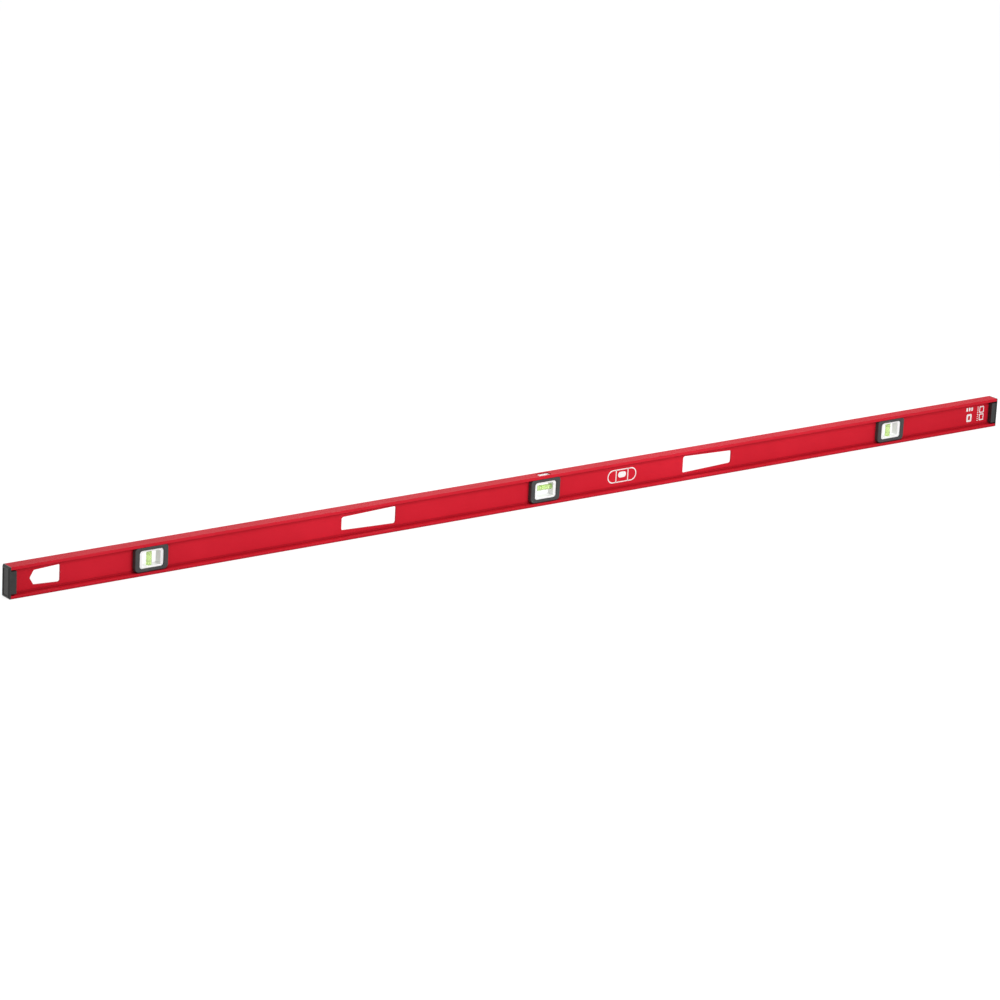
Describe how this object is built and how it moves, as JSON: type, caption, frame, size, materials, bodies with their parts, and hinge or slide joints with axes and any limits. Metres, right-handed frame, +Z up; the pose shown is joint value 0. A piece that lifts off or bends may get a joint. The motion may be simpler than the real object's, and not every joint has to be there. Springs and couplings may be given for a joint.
{
  "type": "spirit level",
  "caption": "Long red I-beam spirit level with a level vial and top-read window in the middle, plumb vials near the ends, hand holes, a hanging hole and dark end caps.",
  "frame": {"origin": "middle of the bottom working face", "axes": "+X along the beam towards the end without the hanging hole, +Y towards the back through the web, +Z up from the bottom working face to the top one"},
  "size_m": [2.438, 0.026, 0.061],
  "materials": {
    "red_coated_aluminium": "red satin powder coat on extruded aluminium",
    "end_cap_plastic": "moulded charcoal shock-absorbing elastomer",
    "bezel_plastic": "moulded charcoal plastic with a fine grain",
    "white_plastic": "white moulded plastic",
    "clear_acrylic": "clear polished acrylic",
    "vial_plug_plastic": "translucent moulded plug",
    "gauge_line_ink": "black gauge line",
    "vial_fluid": "yellow-green dyed spirit",
    "vial_bubble": "air bubble",
    "blackened_steel": "blackened screws"
  },
  "bodies": {
    "level_beam": {"beam": "red_coated_aluminium", "left_end_cap": "end_cap_plastic", "left_plumb_bezel_screws": "blackened_steel", "left_plumb_front_bezel": "bezel_plastic", "left_plumb_front_frame": "white_plastic", "left_plumb_gauge_lines": "gauge_line_ink", "left_plumb_rear_bezel": "bezel_plastic", "left_plumb_rear_frame": "white_plastic", "left_plumb_vial_body": "clear_acrylic", "left_plumb_vial_fluid": "vial_fluid", "left_plumb_vial_plug": "vial_plug_plastic", "level_bezel_screws": "blackened_steel", "level_front_bezel": "bezel_plastic", "level_front_frame": "white_plastic", "level_gauge_lines": "gauge_line_ink", "level_rear_bezel": "bezel_plastic", "level_rear_frame": "white_plastic", "level_vial_body": "clear_acrylic", "level_vial_fluid": "vial_fluid", "level_vial_plug": "vial_plug_plastic", "right_end_cap": "end_cap_plastic", "right_plumb_bezel_screws": "blackened_steel", "right_plumb_front_bezel": "bezel_plastic", "right_plumb_front_frame": "white_plastic", "right_plumb_gauge_lines": "gauge_line_ink", "right_plumb_rear_bezel": "bezel_plastic", "right_plumb_rear_frame": "white_plastic", "right_plumb_vial_body": "clear_acrylic", "right_plumb_vial_fluid": "vial_fluid", "right_plumb_vial_plug": "vial_plug_plastic", "top_read_lens": "clear_acrylic"},
    "left_plumb_bubble": {"left_plumb_bubble": "vial_bubble"},
    "level_bubble": {"level_bubble": "vial_bubble"},
    "right_plumb_bubble": {"right_plumb_bubble": "vial_bubble"}
  },
  "joints": [
    {"name": "left_plumb_bubble_slide", "type": "slide", "parent": "level_beam", "child": "left_plumb_bubble", "axis": [0, 0, 1], "range_m": [-0.0236, 0]},
    {"name": "level_bubble_slide", "type": "slide", "parent": "level_beam", "child": "level_bubble", "axis": [1, 0, 0], "range_m": [-0.0151, 0.0151]},
    {"name": "right_plumb_bubble_slide", "type": "slide", "parent": "level_beam", "child": "right_plumb_bubble", "axis": [0, 0, 1], "range_m": [-0.0236, 0]}
  ]
}
